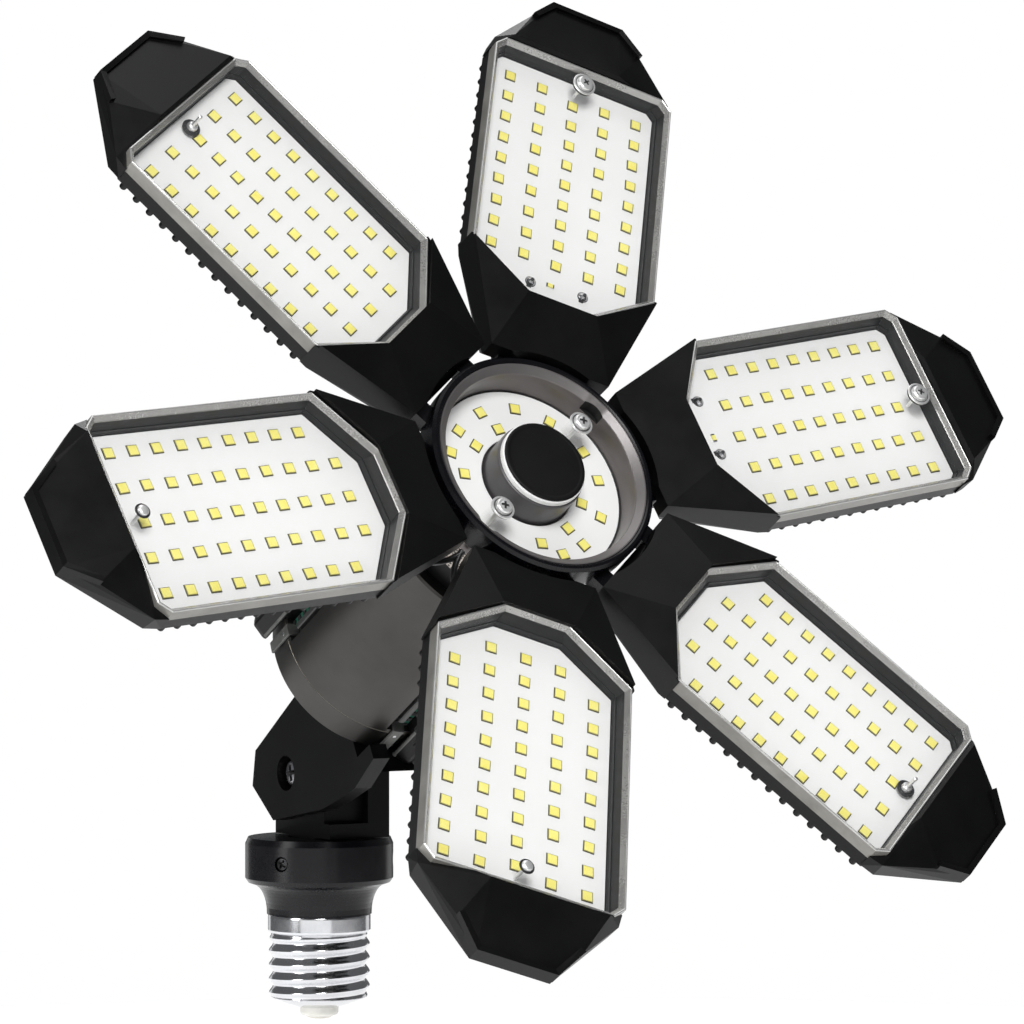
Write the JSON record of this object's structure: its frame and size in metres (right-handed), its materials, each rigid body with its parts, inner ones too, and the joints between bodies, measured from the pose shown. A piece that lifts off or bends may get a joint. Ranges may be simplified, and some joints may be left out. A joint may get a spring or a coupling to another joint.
{
  "type": "deformable garage light",
  "caption": "Garage ceiling light on a screw cap, with a tilting neck, a round LED hub and folding LED leaves with finned backs.",
  "frame": {"origin": "on the screw cap's axis, at the plane where its metal shell meets the black collar", "axes": "+Z from the cap into the neck, opposite to the way it screws in; +X the way the head leans; +Y along the neck pivot"},
  "size_m": [0.1992, 0.2782, 0.2616],
  "materials": {
    "chrome": "bright nickel plating",
    "insulator": "black glass insulator",
    "contact": "soldered contact",
    "black_gloss": "gloss black moulding",
    "black_satin": "satin black moulding",
    "barrel": "satin grey-brown lacquer",
    "sleeve": "dimpled grey",
    "heatsink": "black anodised",
    "board": "white solder mask",
    "driver": "green board with parts",
    "cover": "clear, with a bevelled frame",
    "post_grey": "satin grey",
    "post_white": "gloss white",
    "steel": "zinc-plated",
    "wire": "insulated wire"
  },
  "bodies": {
    "base": {"screw_shell": "chrome", "cap_insulator": "insulator", "centre_contact": "contact", "base_collar": "black_gloss", "set_screws": "steel"},
    "knuckle": {"neck_knuckle": "black_satin", "pivot_screw": "chrome", "pivot_nut": "steel"},
    "head": {"neck_arm": "black_satin", "rear_cover": "barrel", "rear_housing": "barrel", "vent_rails": "black_satin", "mesh_sleeve": "sleeve", "hub_ring": "black_gloss", "hub_reflector": "barrel", "hub_led_board": "board", "centre_post": "post_grey", "post_ring": "post_white", "post_cap": "black_satin", "hub_screws": "chrome", "hinge_pins": "steel", "driver_board": "driver", "leaf_leads": "wire"},
    "leaf_1": {"leaf_1_heatsink": "heatsink", "leaf_1_led_board": "board", "leaf_1_cover": "cover", "leaf_1_root_cap": "black_satin", "leaf_1_tip_cap": "black_satin", "leaf_1_screw": "chrome"},
    "leaf_2": {"leaf_2_heatsink": "heatsink", "leaf_2_led_board": "board", "leaf_2_cover": "cover", "leaf_2_root_cap": "black_satin", "leaf_2_tip_cap": "black_satin", "leaf_2_screw": "chrome"},
    "leaf_3": {"leaf_3_heatsink": "heatsink", "leaf_3_led_board": "board", "leaf_3_cover": "cover", "leaf_3_root_cap": "black_satin", "leaf_3_tip_cap": "black_satin", "leaf_3_screw": "chrome"},
    "leaf_4": {"leaf_4_heatsink": "heatsink", "leaf_4_led_board": "board", "leaf_4_cover": "cover", "leaf_4_root_cap": "black_satin", "leaf_4_tip_cap": "black_satin", "leaf_4_screw": "chrome"},
    "leaf_5": {"leaf_5_heatsink": "heatsink", "leaf_5_led_board": "board", "leaf_5_cover": "cover", "leaf_5_root_cap": "black_satin", "leaf_5_tip_cap": "black_satin", "leaf_5_screw": "chrome"},
    "leaf_6": {"leaf_6_heatsink": "heatsink", "leaf_6_led_board": "board", "leaf_6_cover": "cover", "leaf_6_root_cap": "black_satin", "leaf_6_tip_cap": "black_satin", "leaf_6_screw": "chrome"}
  },
  "joints": [
    {"name": "neck_swivel", "type": "hinge", "parent": "base", "child": "knuckle", "pos_m": [0, 0, 0.02], "axis": [0, 0, 1], "range_deg": [-175, 175]},
    {"name": "neck_tilt", "type": "hinge", "parent": "knuckle", "child": "head", "pos_m": [0, 0, 0.0366], "axis": [0, 1, 0], "range_deg": [-50, 25]},
    {"name": "leaf_1_fold", "type": "hinge", "parent": "head", "child": "leaf_1", "pos_m": [0.08813, 0.01191, 0.13886], "axis": [-0.1821, -0.9304, 0.318], "range_deg": [0, 58], "deforming": ["leaf_leads"]},
    {"name": "leaf_2_fold", "type": "hinge", "parent": "head", "child": "leaf_2", "pos_m": [0.10077, 0.03214, 0.11679], "axis": [-0.4915, -0.1478, 0.8582], "range_deg": [0, 58], "deforming": ["leaf_leads"]},
    {"name": "leaf_3_fold", "type": "hinge", "parent": "head", "child": "leaf_3", "pos_m": [0.1158, 0.02023, 0.09055], "axis": [-0.3094, 0.7826, 0.5402], "range_deg": [0, 58], "deforming": ["leaf_leads"]},
    {"name": "leaf_4_fold", "type": "hinge", "parent": "head", "child": "leaf_4", "pos_m": [0.11819, -0.01191, 0.08638], "axis": [0.1821, 0.9304, -0.318], "range_deg": [0, 58], "deforming": ["leaf_leads"]},
    {"name": "leaf_5_fold", "type": "hinge", "parent": "head", "child": "leaf_5", "pos_m": [0.10555, -0.03214, 0.10845], "axis": [0.4915, 0.1478, -0.8582], "range_deg": [0, 58], "deforming": ["leaf_leads"]},
    {"name": "leaf_6_fold", "type": "hinge", "parent": "head", "child": "leaf_6", "pos_m": [0.09052, -0.02023, 0.13469], "axis": [0.3094, -0.7826, -0.5402], "range_deg": [0, 58], "deforming": ["leaf_leads"]}
  ]
}
